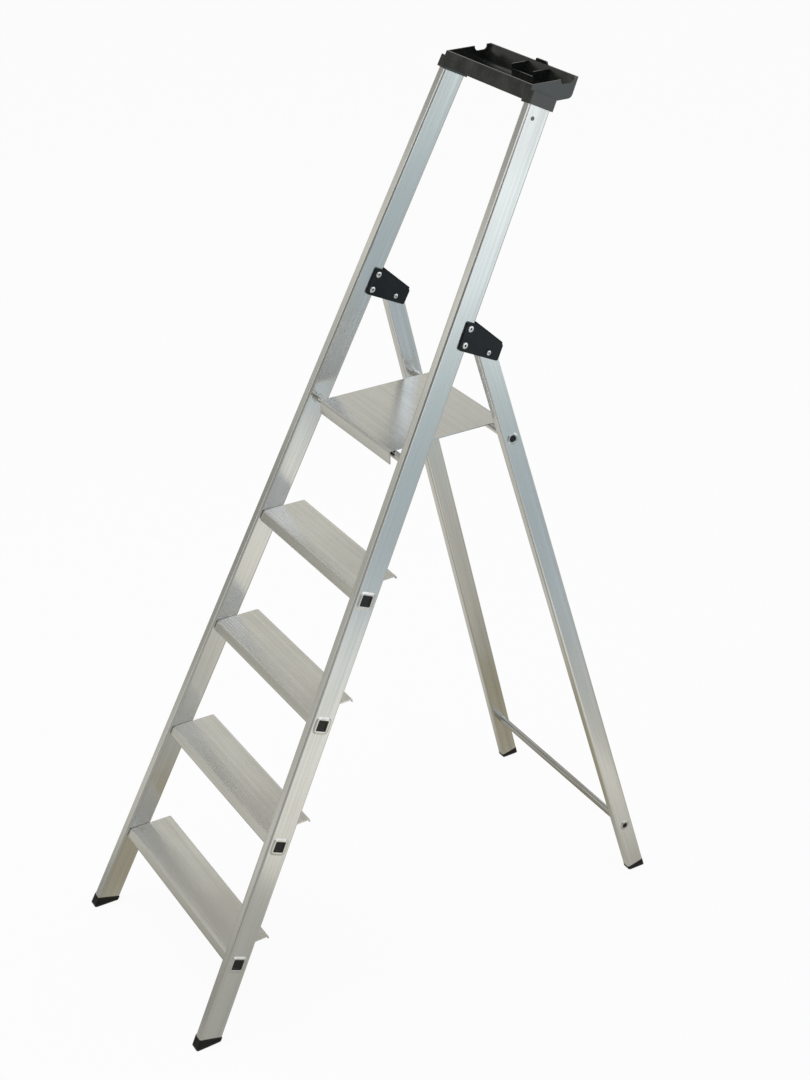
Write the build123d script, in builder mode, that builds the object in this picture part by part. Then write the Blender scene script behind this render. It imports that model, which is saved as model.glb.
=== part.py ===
from build123d import *
from math import cos, hypot, radians, sin, tan
import os

# Aluminium stepladder with a standing platform, a tool tray and a hinged rear frame.
# Millimetres, +Z up, climbing side towards -Y, the floor at Z = 0.
# The right-hand half is modelled and mirrored about the YZ plane.

# Stance
front_lean = 25.6
stile_splay = 3.4
rear_lean = 15.3
rear_splay = 3.6
base_half_width = 275.0

# Heights, each counted from the one below it
first_tread_height = 189.0
tread_count = 4
tread_spacing = 240.0
platform_rise = 244.5
hinge_rise = 177.9
stile_rise = 474.5
tray_rise = 12.1

# Front stiles
stile_depth = 51.0
stile_thickness = 22.0
stile_wall = 1.8
stile_corner = 4.5

# Treads
tread_depth = 97.5
tread_setback = 6.0
tread_sheet = 2.5
tread_bend = 3.0
tread_lip = 17.0
tread_back_lip = 6.0
tread_end_gap = 1.0
rib_pitch = 6.3
rib_width = 3.4
rib_height = 0.4

# Square box along the underside of each tread, with its flared end and plug
box_size = 27.0
box_wall = 1.8
box_corner = 4.0
collar_overlap = 5.2
collar_height = 1.6
plug_length = 14.0
plug_recess = 0.6

# Platform
platform_setback = 4.6
platform_overhang = 20.5
platform_side_gap = 38.6
platform_sheet = 2.5
platform_bend = 5.0
platform_lip = 29.0
platform_back_lip = 12.0
platform_back_bend = 4.0

# Mouldings and screws under the platform
pad_thickness = 1.2
moulding_width = 26.0
moulding_end_gap = 40.0
moulding_corner = 2.0
saddle_wall = 3.5
saddle_round = 8.0
flange_thickness = 6.0
flange_length = 20.0
hook_tail_wall = 4.5
hook_tail_drop = 8.0
hook_lead = 1.0
screw_radius = 1.8
screw_head_radius = 3.6
screw_head_height = 2.4
screw_bite = 1.6
screw_half_pitch = 6.5

# Round tubes
front_tube_radius = 8.0
rear_tube_radius = 9.5
tube_wall = 1.5
tube_bead = 1.5
tube_rim_overlap = 3.0
stay_height = 128.0
stay_radius = 8.0

# Rear legs, hung from the hinge
leg_depth = 41.0
leg_thickness = 21.6
leg_wall = 1.8
leg_corner = 4.5
leg_top = 13.0

# Hinge bracket
hinge_offset = 50.7
bracket_grip = 20.0
bracket_tail = 27.3
bracket_below = 11.2
bracket_slope = 17.2
bracket_corner = 5.0
bracket_web = 3.2
web_clearance = 1.7
web_rise = 4.0
web_corner = 3.0
cheek = 4.2
leg_side_gap = 1.4
boss_radius = 6.5
boss_height = 0.8

# Rivets and hinge pins
rivet_edge = 8.5
rivet_inset = 12.1
rivet_radius = 3.9
rivet_bore = 2.0
rivet_head_radius = 6.2
rivet_head = 1.4
pin_radius = 3.6
pin_bore = 1.5
pin_head_radius = 4.9
tray_rivet_back = 17.0
tray_rivet_drop = 43.5
tray_rivet_radius = 2.4
tray_rivet_head_radius = 4.2
tray_rivet_grip = 8.0

# Boots
boot_side = 2.5
boot_front_height = 22.0
boot_slope = 16.5
rear_boot_side = 0.8
rear_boot_front_height = 8.5
rear_boot_slope = 13.0
boot_spigot = 45.0

# Tool tray
tray_inset = 8.5
tray_rim_depth = 103.0
tray_well = 38.0
tray_back_slope = 22.0
tray_corner = 11.0
tray_wall = 3.0
tray_socket = 20.5
tray_front_raise = 4.0
tray_spigot = 60.0
notch_width = 28.7
notch_depth = 10.0
notch_corner = 8.0
notch_back = 25.0
tab_left = 10.0
tab_right = 50.0
tab_height = 6.0
tab_taper = 3.0
tab_corner = 3.0
pocket_left = -12.0
pocket_right = 62.0
pocket_depth = 42.0
pocket_end_drop = 4.0
pocket_front_drop = 14.0

# Fits
slide_fit = 0.15
turn_fit = 0.05
rest_gap = 0.3

# Directions of the right-hand front stile
lean = radians(front_lean)
splay = radians(stile_splay)
stile_back = Vector(0, cos(lean), -sin(lean))
stile_along = Vector(-sin(splay), cos(splay) * sin(lean), cos(splay) * cos(lean))
stile_outward = Vector(cos(splay), sin(splay) * sin(lean), sin(splay) * cos(lean))

# Directions of the right-hand rear leg
swing = radians(rear_lean)
spread = radians(rear_splay)
leg_back = Vector(0, cos(swing), sin(swing))
leg_down = Vector(sin(spread), cos(spread) * sin(swing), -cos(spread) * cos(swing))
leg_outward = Vector(cos(spread), -sin(spread) * sin(swing), sin(spread) * cos(swing))

# Heights above the floor
tread_tops = [first_tread_height + step * tread_spacing for step in range(tread_count)]
platform_height = tread_tops[-1] + platform_rise
hinge_z = platform_height + hinge_rise
stile_top = hinge_z + stile_rise
tray_rim_height = stile_top + tray_rise

# Hinge line and the front edge of the footprint, centred on the origin
hinge_back = stile_depth + hinge_offset
hinge_along = (hinge_z + hinge_back * sin(lean)) / (cos(splay) * cos(lean))
hinge_reach = hinge_z * tan(lean) + hinge_back / cos(lean)
rear_reach = hinge_reach + hinge_z * tan(swing) + leg_depth / 2 / cos(swing)
front_foot_y = -rear_reach / 2
hinge_y = front_foot_y + hinge_reach

# Outer face of the stile: X is back from the front face, Y is along the stile
stile_face = Plane(origin=(base_half_width, front_foot_y, 0), x_dir=stile_back, z_dir=stile_outward)
# Cross-section of the stile: X is outwards from the outer face, Y is back from the front face
stile_section = Plane(origin=(base_half_width, front_foot_y, 0), x_dir=stile_outward, z_dir=stile_along)

# Cross-section of the rear leg at the hinge, and its outer face with Y upwards along the leg
hinge_x = stile_face.from_local_coords((hinge_back, hinge_along, -stile_thickness / 2)).X
leg_centre = Vector(hinge_x, hinge_y, hinge_z)
leg_section = Plane(origin=leg_centre, x_dir=leg_outward, z_dir=leg_down)
leg_face = Plane(origin=leg_centre + leg_outward * (leg_thickness / 2), x_dir=leg_back, z_dir=leg_outward)


def stile_y(height, back):
    """Y of a line that lies back from the front face of the stiles, at a height."""
    return front_foot_y + height * tan(lean) + back / cos(lean)


def stile_spot(height, back, outward=0.0):
    """Spot on the outer face, or on a plane parallel to it, at a height."""
    along = (height + back * sin(lean)) / (cos(lean) * cos(splay))
    return (back, along - outward * tan(splay))


def leg_spot(distance):
    """Spot on the outer face of the leg beside its centre line, a distance below the hinge."""
    return (0, -(distance + leg_thickness / 2 * tan(spread)))


def leg_distance(height):
    """Distance below the hinge along the leg's centre line at which it reaches a height."""
    return (hinge_z - height) / (cos(spread) * cos(swing))


def leg_y(height):
    """Y of the centre line of the legs at a height."""
    return hinge_y + (hinge_z - height) * tan(swing)


os.makedirs("parts", exist_ok=True)

stile_length = stile_top / (cos(splay) * cos(lean))
box_back = stile_depth / 2
box_reach = (box_size / 2 - box_corner) * (cos(lean) + sin(lean)) + box_corner
box_drop = rib_height + tread_sheet + box_reach
box_inside = box_size - 2 * box_wall
collar_size = box_size + 2 * collar_overlap
stile_hollow = stile_thickness - 2 * stile_wall
stile_hollow_depth = stile_depth - 2 * stile_wall
stile_hollow_corner = stile_corner - stile_wall
leg_hollow = leg_thickness - 2 * leg_wall
leg_hollow_depth = leg_depth - 2 * leg_wall
leg_hollow_corner = leg_corner - leg_wall

platform_under = platform_height - platform_sheet
platform_front = stile_y(platform_height, 0) + platform_setback
saddle_bore = front_tube_radius + turn_fit
front_tube_y = platform_front + platform_sheet + saddle_wall + saddle_bore
front_tube_z = platform_under - pad_thickness - saddle_bore
front_tube_back = (front_tube_y - stile_y(front_tube_z, 0)) * cos(lean)
rear_tube_z = platform_under - pad_thickness - rest_gap - rear_tube_radius
rear_tube_y = leg_y(rear_tube_z)
platform_rear = rear_tube_y + platform_overhang
tube_end_spot = stile_spot(front_tube_z, front_tube_back, -stile_thickness)
tube_end = stile_face.from_local_coords((*tube_end_spot, -stile_thickness)).X
platform_half_width = tube_end - platform_side_gap
stay_y = leg_y(stay_height)

# Outline of the hinge bracket on the stile's faces; its web clears the leg as it turns
leg_turn = hypot(leg_depth / 2, leg_top)
web_angle = radians(bracket_slope)
web_fall = tan(web_angle)
web_over_hinge = (leg_turn + web_clearance) / cos(web_angle) + bracket_web
bracket_front = stile_depth - bracket_grip
bracket_back = hinge_back + bracket_tail
bracket_low = hinge_along - bracket_below
bracket_high = hinge_along + web_over_hinge + web_fall * hinge_offset
bracket_back_high = hinge_along + web_over_hinge - web_fall * bracket_tail
cheek_pocket = (leg_thickness - stile_thickness) / 2 + leg_side_gap

rivet_back = stile_depth - rivet_edge
rivet_spots = [(rivet_back, bracket_low + rivet_inset), (rivet_back, bracket_high - rivet_inset)]
tray_rivet_spot = (tray_rivet_back, stile_length - tray_rivet_drop)

# The stiles end on a plane that falls to the back; the boots fill the wedge below it
boot_angle = radians(boot_slope)
boot_seat = Plane(
    origin=(0, stile_y(boot_front_height, 0), boot_front_height),
    x_dir=(1, 0, 0),
    z_dir=(0, sin(boot_angle), cos(boot_angle)),
)
rear_boot_angle = radians(rear_boot_slope)
rear_boot_front_y = leg_y(rear_boot_front_height) - leg_depth / 2 / cos(swing)
rear_boot_seat = Plane(
    origin=(0, rear_boot_front_y, rear_boot_front_height),
    x_dir=(1, 0, 0),
    z_dir=(0, -sin(rear_boot_angle), cos(rear_boot_angle)),
)
below_floor = 2 * stile_depth

# Front stiles: hollow rectangular extrusion, pierced for treads, tube and rivets
with BuildPart() as right_front_stile:
    with BuildSketch(stile_section.offset(-below_floor)):
        with Locations((-stile_thickness / 2, stile_depth / 2)):
            RectangleRounded(stile_thickness, stile_depth, stile_corner)
            RectangleRounded(stile_hollow, stile_hollow_depth, stile_hollow_corner, mode=Mode.SUBTRACT)
    extrude(amount=stile_length + below_floor)
    split(bisect_by=boot_seat, keep=Keep.TOP)
    for top in tread_tops:
        box_z = top - box_drop
        with BuildSketch(Plane.YZ):
            with Locations((stile_y(box_z, box_back), box_z)):
                RectangleRounded(
                    box_size + 2 * slide_fit,
                    box_size + 2 * slide_fit,
                    box_corner + slide_fit,
                    rotation=-front_lean,
                )
        extrude(amount=2 * base_half_width, mode=Mode.SUBTRACT)
    with BuildSketch(Plane.YZ):
        with Locations((front_tube_y, front_tube_z)):
            Circle(front_tube_radius + slide_fit)
    tube_spot = stile_spot(front_tube_z, front_tube_back, -stile_thickness / 2)
    tube_hole_end = stile_face.from_local_coords((*tube_spot, -stile_thickness / 2)).X
    extrude(amount=tube_hole_end, mode=Mode.SUBTRACT)
    with BuildSketch(stile_face):
        with Locations(rivet_spots):
            Circle(rivet_radius + slide_fit)
    extrude(amount=2 * stile_thickness, both=True, mode=Mode.SUBTRACT)
    with BuildSketch(stile_face):
        with Locations(tray_rivet_spot):
            Circle(tray_rivet_radius + slide_fit)
    extrude(amount=-stile_thickness / 2, mode=Mode.SUBTRACT)
right_front_stile.part.label = "right_front_stile"
export_step(right_front_stile.part, "parts/right_front_stile.step")

with BuildPart() as left_front_stile:
    mirror(right_front_stile.part, about=Plane.YZ)
left_front_stile.part.label = "left_front_stile"
export_step(left_front_stile.part, "parts/left_front_stile.step")

# Treads: bent, ribbed plate with a square box that is flared over outside both stiles
for number, top in enumerate(tread_tops, start=1):
    box_z = top - box_drop
    box_y = stile_y(box_z, box_back)
    plate_top = top - rib_height
    nose_y = stile_y(plate_top, tread_setback)
    skin_z = plate_top - tread_sheet / 2
    skin_y = stile_y(skin_z, tread_setback + tread_sheet / 2)
    rear_y = nose_y + tread_depth - tread_sheet / 2
    rib_count = int((tread_depth - 2 * tread_bend) / rib_pitch)
    rib_start = nose_y + (tread_depth - (rib_count - 1) * rib_pitch) / 2
    with BuildPart() as tread:
        with BuildSketch(Plane.YZ):
            with BuildLine():
                FilletPolyline(
                    (skin_y - tread_lip * sin(lean), skin_z - tread_lip * cos(lean)),
                    (skin_y, skin_z),
                    (rear_y, skin_z),
                    (rear_y, skin_z - tread_back_lip),
                    radius=[tread_bend, tread_bend],
                )
            trace(line_width=tread_sheet)
            with Locations([(rib_start + rib * rib_pitch, plate_top) for rib in range(rib_count)]):
                Rectangle(rib_width, rib_height, align=(Align.CENTER, Align.MIN))
            with Locations((box_y, box_z)):
                RectangleRounded(box_size, box_size, box_corner, rotation=-front_lean)
            box_top = box_z + box_size / 2
            with Locations((box_y, box_top)):
                Rectangle(box_size / 2, skin_z - box_top, align=(Align.CENTER, Align.MIN))
            with Locations((box_y, box_z)):
                RectangleRounded(
                    box_inside,
                    box_inside,
                    box_corner - box_wall,
                    rotation=-front_lean,
                    mode=Mode.SUBTRACT,
                )
        extrude(amount=base_half_width)
        split(bisect_by=stile_face.offset(-stile_thickness - tread_end_gap), keep=Keep.BOTTOM)
        with BuildSketch(Plane.YZ):
            with Locations((box_y, box_z)):
                RectangleRounded(box_size, box_size, box_corner, rotation=-front_lean)
                RectangleRounded(
                    box_inside,
                    box_inside,
                    box_corner - box_wall,
                    rotation=-front_lean,
                    mode=Mode.SUBTRACT,
                )
        extrude(amount=base_half_width + box_size)
        with BuildSketch(stile_face.offset(collar_height)):
            with Locations(stile_spot(box_z, box_back, collar_height)):
                Rectangle(2 * box_size, 2 * box_size)
        extrude(amount=base_half_width, mode=Mode.SUBTRACT)
        with BuildSketch(stile_face):
            with Locations(stile_spot(box_z, box_back)):
                RectangleRounded(collar_size, collar_size, box_corner + collar_overlap)
                RectangleRounded(box_size - box_wall, box_size - box_wall, box_corner, mode=Mode.SUBTRACT)
        extrude(amount=collar_height)
        mirror(about=Plane.YZ)
    tread.part.label = f"tread_{number}"
    export_step(tread.part, f"parts/tread_{number}.step")

# Black plugs that close the tread boxes on the outer faces
with BuildPart() as tread_plugs:
    for top in tread_tops:
        box_z = top - box_drop
        plug_spot = stile_spot(box_z, box_back, collar_height)
        plug_x = stile_face.from_local_coords((*plug_spot, collar_height)).X - plug_recess
        with BuildSketch(Plane.YZ.offset(plug_x - plug_length)):
            with Locations((stile_y(box_z, box_back), box_z)):
                RectangleRounded(
                    box_inside - 2 * slide_fit,
                    box_inside - 2 * slide_fit,
                    box_corner - box_wall,
                    rotation=-front_lean,
                )
        extrude(amount=plug_length)
    mirror(about=Plane.YZ)
tread_plugs.part.label = "tread_plugs"
export_step(tread_plugs.part, "parts/tread_plugs.step")

# Front cross tube: carries the platform, ends inside the stiles, beaded against their inner faces
with BuildPart() as front_cross_tube:
    with BuildSketch(Plane.YZ):
        with Locations((front_tube_y, front_tube_z)):
            Circle(front_tube_radius)
            Circle(front_tube_radius - tube_wall, mode=Mode.SUBTRACT)
    extrude(amount=base_half_width)
    split(bisect_by=stile_face.offset(-stile_wall - rest_gap), keep=Keep.BOTTOM)
    with BuildSketch(stile_face.offset(-stile_thickness)):
        with Locations(stile_spot(front_tube_z, front_tube_back, -stile_thickness)):
            Circle(front_tube_radius + tube_rim_overlap)
            Circle(front_tube_radius - tube_wall / 2, mode=Mode.SUBTRACT)
    extrude(amount=-tube_bead)
    mirror(about=Plane.YZ)
front_cross_tube.part.label = "front_cross_tube"
export_step(front_cross_tube.part, "parts/front_cross_tube.step")

# Saddles: black mouldings under the platform that turn on the front cross tube
moulding_right = platform_half_width - moulding_end_gap
moulding_left = moulding_right - moulding_width
moulding_middle = moulding_right - moulding_width / 2
saddle_front = front_tube_y - saddle_bore - saddle_wall
saddle_rear = front_tube_y + saddle_bore + saddle_wall
saddle_low = front_tube_z - saddle_bore - saddle_wall
saddle_nose = platform_bend - platform_sheet + rest_gap
saddle_screw_y = saddle_rear + flange_length / 2
with BuildPart() as right_saddle:
    with BuildSketch(Plane.YZ.offset(moulding_left)):
        with BuildLine():
            FilletPolyline(
                (saddle_front, platform_under),
                (saddle_rear + flange_length, platform_under),
                (saddle_rear + flange_length, platform_under - flange_thickness),
                (saddle_rear, platform_under - flange_thickness),
                (saddle_rear, saddle_low),
                (saddle_front, saddle_low),
                radius=[saddle_nose, 0, moulding_corner, moulding_corner, saddle_round, saddle_round],
                close=True,
            )
        make_face()
        with Locations((front_tube_y, front_tube_z)):
            Circle(saddle_bore, mode=Mode.SUBTRACT)
    extrude(amount=moulding_width)
    with BuildSketch(Plane.XY.offset(platform_under)):
        with Locations((moulding_middle, saddle_screw_y)):
            with GridLocations(2 * screw_half_pitch, 0, 2, 1):
                Circle(screw_radius + slide_fit)
    extrude(amount=-2 * flange_thickness, mode=Mode.SUBTRACT)
right_saddle.part.label = "right_platform_saddle"
export_step(right_saddle.part, "parts/right_platform_saddle.step")

with BuildPart() as left_saddle:
    mirror(right_saddle.part, about=Plane.YZ)
left_saddle.part.label = "left_platform_saddle"
export_step(left_saddle.part, "parts/left_platform_saddle.step")

# Hooks: black mouldings under the rear of the platform that drop over the rear upper tube
hook_tail = rear_tube_y + rear_tube_radius + rest_gap
hook_nose = rear_tube_y - rear_tube_radius - rest_gap
hook_screw_y = hook_nose - flange_length / 2
with BuildPart() as right_hook:
    with BuildSketch(Plane.YZ.offset(moulding_left)):
        with BuildLine():
            FilletPolyline(
                (hook_nose - flange_length, platform_under),
                (hook_tail + hook_tail_wall, platform_under),
                (hook_tail + hook_tail_wall, rear_tube_z - hook_tail_drop),
                (hook_tail, rear_tube_z - hook_tail_drop),
                (hook_tail, platform_under - pad_thickness),
                (hook_nose, platform_under - pad_thickness),
                (hook_nose, platform_under - flange_thickness),
                (hook_nose - flange_length, platform_under - flange_thickness),
                radius=[0, 0, moulding_corner, hook_lead, 0, 0, hook_lead, moulding_corner],
                close=True,
            )
        make_face()
    extrude(amount=moulding_width)
    with BuildSketch(Plane.XY.offset(platform_under)):
        with Locations((moulding_middle, hook_screw_y)):
            with GridLocations(2 * screw_half_pitch, 0, 2, 1):
                Circle(screw_radius + slide_fit)
    extrude(amount=-2 * flange_thickness, mode=Mode.SUBTRACT)
right_hook.part.label = "right_platform_hook"
export_step(right_hook.part, "parts/right_platform_hook.step")

with BuildPart() as left_hook:
    mirror(right_hook.part, about=Plane.YZ)
left_hook.part.label = "left_platform_hook"
export_step(left_hook.part, "parts/left_platform_hook.step")

# Platform: folded sheet with a rounded front fold, a front lip and a small rear lip
half_sheet = platform_sheet / 2
screw_rows = [(moulding_middle, saddle_screw_y), (moulding_middle, hook_screw_y)]
with BuildPart() as platform:
    with BuildSketch(Plane.YZ):
        with BuildLine():
            FilletPolyline(
                (platform_front + half_sheet, platform_height - platform_lip),
                (platform_front + half_sheet, platform_height - half_sheet),
                (platform_rear - half_sheet, platform_height - half_sheet),
                (platform_rear - half_sheet, platform_height - platform_back_lip),
                radius=[platform_bend - half_sheet, platform_back_bend],
            )
        trace(line_width=platform_sheet)
    extrude(amount=platform_half_width)
    with BuildSketch(Plane.XY.offset(platform_under)):
        with Locations(screw_rows):
            with GridLocations(2 * screw_half_pitch, 0, 2, 1):
                Circle(screw_radius + slide_fit)
    extrude(amount=screw_bite + slide_fit, mode=Mode.SUBTRACT)
    mirror(about=Plane.YZ)
platform.part.label = "platform"
export_step(platform.part, "parts/platform.step")

# Screws that hold the saddles and hooks, driven up from below
with BuildPart() as platform_screws:
    with BuildSketch(Plane.XY.offset(platform_under - flange_thickness)):
        with Locations(screw_rows):
            with GridLocations(2 * screw_half_pitch, 0, 2, 1):
                Circle(screw_head_radius)
    extrude(amount=-screw_head_height)
    with BuildSketch(Plane.XY.offset(platform_under - flange_thickness)):
        with Locations(screw_rows):
            with GridLocations(2 * screw_half_pitch, 0, 2, 1):
                Circle(screw_radius)
    extrude(amount=flange_thickness + screw_bite)
    mirror(about=Plane.YZ)
platform_screws.part.label = "platform_screws"
export_step(platform_screws.part, "parts/platform_screws.step")

# Rear legs: hollow rectangular extrusion, pierced for the hinge pin and both tubes
leg_holes = [
    (hinge_y, hinge_z, pin_radius + turn_fit),
    (rear_tube_y, rear_tube_z, rear_tube_radius + slide_fit),
    (stay_y, stay_height, stay_radius + slide_fit),
]
with BuildPart() as right_rear_leg:
    with BuildSketch(leg_section.offset(-leg_top)):
        RectangleRounded(leg_thickness, leg_depth, leg_corner)
        RectangleRounded(leg_hollow, leg_hollow_depth, leg_hollow_corner, mode=Mode.SUBTRACT)
    extrude(amount=leg_distance(0) + below_floor)
    split(bisect_by=rear_boot_seat, keep=Keep.TOP)
    for hole_y, hole_z, hole_radius in leg_holes:
        with BuildSketch(Plane.YZ):
            with Locations((hole_y, hole_z)):
                Circle(hole_radius)
        extrude(amount=2 * base_half_width, mode=Mode.SUBTRACT)
right_rear_leg.part.label = "right_rear_leg"
export_step(right_rear_leg.part, "parts/right_rear_leg.step")

with BuildPart() as left_rear_leg:
    mirror(right_rear_leg.part, about=Plane.YZ)
left_rear_leg.part.label = "left_rear_leg"
export_step(left_rear_leg.part, "parts/left_rear_leg.step")

# Rear tubes: run through both legs and are flared over on their outer faces
rear_tubes = [
    ("rear_upper_tube", rear_tube_y, rear_tube_z, rear_tube_radius),
    ("lower_stay", stay_y, stay_height, stay_radius),
]
for tube_name, tube_y, tube_z, tube_radius in rear_tubes:
    with BuildPart() as rear_tube:
        with BuildSketch(Plane.YZ):
            with Locations((tube_y, tube_z)):
                Circle(tube_radius)
                Circle(tube_radius - tube_wall, mode=Mode.SUBTRACT)
        extrude(amount=2 * base_half_width)
        split(bisect_by=leg_face.offset(tube_bead), keep=Keep.BOTTOM)
        with BuildSketch(leg_face):
            with Locations(leg_spot(leg_distance(tube_z))):
                Circle(tube_radius + tube_rim_overlap)
                Circle(tube_radius - tube_wall / 2, mode=Mode.SUBTRACT)
        extrude(amount=tube_bead)
        mirror(about=Plane.YZ)
    rear_tube.part.label = tube_name
    export_step(rear_tube.part, f"parts/{tube_name}.step")

# Black plugs that close the rear tubes
with BuildPart() as rear_tube_plugs:
    for tube_name, tube_y, tube_z, tube_radius in rear_tubes:
        plug_spot = leg_spot(leg_distance(tube_z))
        plug_x = leg_face.from_local_coords((*plug_spot, tube_bead)).X - plug_recess
        with BuildSketch(Plane.YZ.offset(plug_x - plug_length)):
            with Locations((tube_y, tube_z)):
                Circle(tube_radius - tube_wall - turn_fit)
        extrude(amount=plug_length)
    mirror(about=Plane.YZ)
rear_tube_plugs.part.label = "rear_tube_plugs"
export_step(rear_tube_plugs.part, "parts/rear_tube_plugs.step")

# Hinge brackets: two cheeks on the faces of the stile, joined by a web behind it
web_front = stile_depth + rest_gap
web_front_high = bracket_high - web_fall * rest_gap
outer_cheek_spot = (hinge_back, hinge_along, cheek)
outer_seat_x = stile_face.from_local_coords(outer_cheek_spot).X + boss_height
inner_cheek_spot = (hinge_back, hinge_along, -stile_thickness - cheek)
inner_seat_x = stile_face.from_local_coords(inner_cheek_spot).X - boss_height
with BuildPart() as right_hinge_bracket:
    for face_plane, growth in (
        (stile_face, cheek),
        (stile_face.offset(-stile_thickness), -cheek),
    ):
        with BuildSketch(face_plane):
            with BuildLine():
                FilletPolyline(
                    (bracket_front, bracket_low),
                    (bracket_front, bracket_high),
                    (stile_depth, bracket_high),
                    (bracket_back, bracket_back_high),
                    (bracket_back, bracket_low),
                    radius=[bracket_corner, bracket_corner, 0, bracket_corner, bracket_corner],
                    close=True,
                )
            make_face()
        extrude(amount=growth)
    with BuildSketch(stile_face):
        with BuildLine():
            FilletPolyline(
                (web_front, web_front_high + web_rise),
                (bracket_back, bracket_back_high + web_rise),
                (bracket_back, bracket_back_high - bracket_web),
                (web_front, web_front_high - bracket_web),
                radius=[0, web_corner, 0, 0],
                close=True,
            )
        make_face()
    extrude(amount=-stile_thickness)
    with BuildSketch(Plane.YZ.offset(inner_seat_x)):
        with Locations((hinge_y, hinge_z)):
            Circle(boss_radius)
    extrude(amount=outer_seat_x - inner_seat_x)
    with BuildSketch(stile_face.offset(cheek_pocket)):
        with BuildLine():
            Polyline(
                (web_front, bracket_low - bracket_corner),
                (web_front, web_front_high - bracket_web),
                (bracket_back + bracket_corner, bracket_back_high - web_fall * bracket_corner - bracket_web),
                (bracket_back + bracket_corner, bracket_low - bracket_corner),
                close=True,
            )
        make_face()
    extrude(amount=-stile_thickness - 2 * cheek_pocket, mode=Mode.SUBTRACT)
    with BuildSketch(stile_face):
        with Locations(rivet_spots):
            Circle(rivet_radius + slide_fit)
    extrude(amount=2 * stile_thickness, both=True, mode=Mode.SUBTRACT)
    with BuildSketch(Plane.YZ):
        with Locations((hinge_y, hinge_z)):
            Circle(pin_radius + turn_fit)
    extrude(amount=base_half_width, mode=Mode.SUBTRACT)
right_hinge_bracket.part.label = "right_hinge_bracket"
export_step(right_hinge_bracket.part, "parts/right_hinge_bracket.step")

with BuildPart() as left_hinge_bracket:
    mirror(right_hinge_bracket.part, about=Plane.YZ)
left_hinge_bracket.part.label = "left_hinge_bracket"
export_step(left_hinge_bracket.part, "parts/left_hinge_bracket.step")

# Hollow rivets through brackets and stiles
with BuildPart() as bracket_rivets:
    for start_plane, growth, radius in (
        (stile_face.offset(cheek), rivet_head, rivet_head_radius),
        (stile_face.offset(cheek), -stile_thickness - 2 * cheek, rivet_radius),
        (stile_face.offset(-stile_thickness - cheek), -rivet_head, rivet_head_radius),
    ):
        with BuildSketch(start_plane):
            with Locations(rivet_spots):
                Circle(radius)
                Circle(rivet_bore, mode=Mode.SUBTRACT)
        extrude(amount=growth)
    mirror(about=Plane.YZ)
bracket_rivets.part.label = "bracket_rivets"
export_step(bracket_rivets.part, "parts/bracket_rivets.step")

# Hinge pins: hollow rivets on the hinge line through bracket and rear leg
with BuildPart() as hinge_pins:
    for start_x, growth, radius in (
        (outer_seat_x, rivet_head, pin_head_radius),
        (outer_seat_x, inner_seat_x - outer_seat_x, pin_radius),
        (inner_seat_x, -rivet_head, pin_head_radius),
    ):
        with BuildSketch(Plane.YZ.offset(start_x)):
            with Locations((hinge_y, hinge_z)):
                Circle(radius)
                Circle(pin_bore, mode=Mode.SUBTRACT)
        extrude(amount=growth)
    mirror(about=Plane.YZ)
hinge_pins.part.label = "hinge_pins"
export_step(hinge_pins.part, "parts/hinge_pins.step")

# Front boots: wedge-shaped feet with a spigot up inside the stile
with BuildPart() as right_front_boot:
    with BuildSketch(stile_section.offset(-below_floor)):
        with Locations((-stile_thickness / 2, stile_depth / 2)):
            RectangleRounded(stile_thickness + 2 * boot_side, stile_depth, stile_corner)
    extrude(amount=2 * below_floor)
    split(bisect_by=boot_seat, keep=Keep.BOTTOM)
    with BuildSketch(stile_section.offset(-below_floor)):
        with Locations((-stile_thickness / 2, stile_depth / 2)):
            RectangleRounded(
                stile_hollow - 2 * slide_fit,
                stile_hollow_depth - 2 * slide_fit,
                stile_hollow_corner,
            )
    extrude(amount=below_floor + boot_front_height + boot_spigot)
    split(bisect_by=Plane.XY, keep=Keep.TOP)
right_front_boot.part.label = "right_front_boot"
export_step(right_front_boot.part, "parts/right_front_boot.step")

with BuildPart() as left_front_boot:
    mirror(right_front_boot.part, about=Plane.YZ)
left_front_boot.part.label = "left_front_boot"
export_step(left_front_boot.part, "parts/left_front_boot.step")

# Rear boots: thin feet with a spigot up inside the leg
spigot_start = leg_distance(boot_spigot)
with BuildPart() as right_rear_boot:
    with BuildSketch(leg_section.offset(spigot_start)):
        RectangleRounded(leg_thickness + 2 * rear_boot_side, leg_depth, leg_corner)
    extrude(amount=boot_spigot + below_floor)
    split(bisect_by=rear_boot_seat, keep=Keep.BOTTOM)
    with BuildSketch(leg_section.offset(spigot_start)):
        RectangleRounded(
            leg_hollow - 2 * slide_fit,
            leg_hollow_depth - 2 * slide_fit,
            leg_hollow_corner,
        )
    extrude(amount=boot_spigot + below_floor)
    split(bisect_by=Plane.XY, keep=Keep.TOP)
right_rear_boot.part.label = "right_rear_boot"
export_step(right_rear_boot.part, "parts/right_rear_boot.step")

with BuildPart() as left_rear_boot:
    mirror(right_rear_boot.part, about=Plane.YZ)
left_rear_boot.part.label = "left_rear_boot"
export_step(left_rear_boot.part, "parts/left_rear_boot.step")

# Tool tray: a well between the stile tops with a socket over and a spigot inside each of them
tray_half_width = base_half_width - stile_length * sin(splay) - tray_inset
tray_floor = tray_rim_height - tray_well
tray_front_low = (stile_length - tray_socket + tray_front_raise) * cos(splay) * cos(lean)
tray_back_y = stile_y(tray_rim_height, -tray_wall) + tray_rim_depth
tray_slope = tan(radians(tray_back_slope))
socket_middle = (-stile_thickness / 2, stile_depth / 2)


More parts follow.
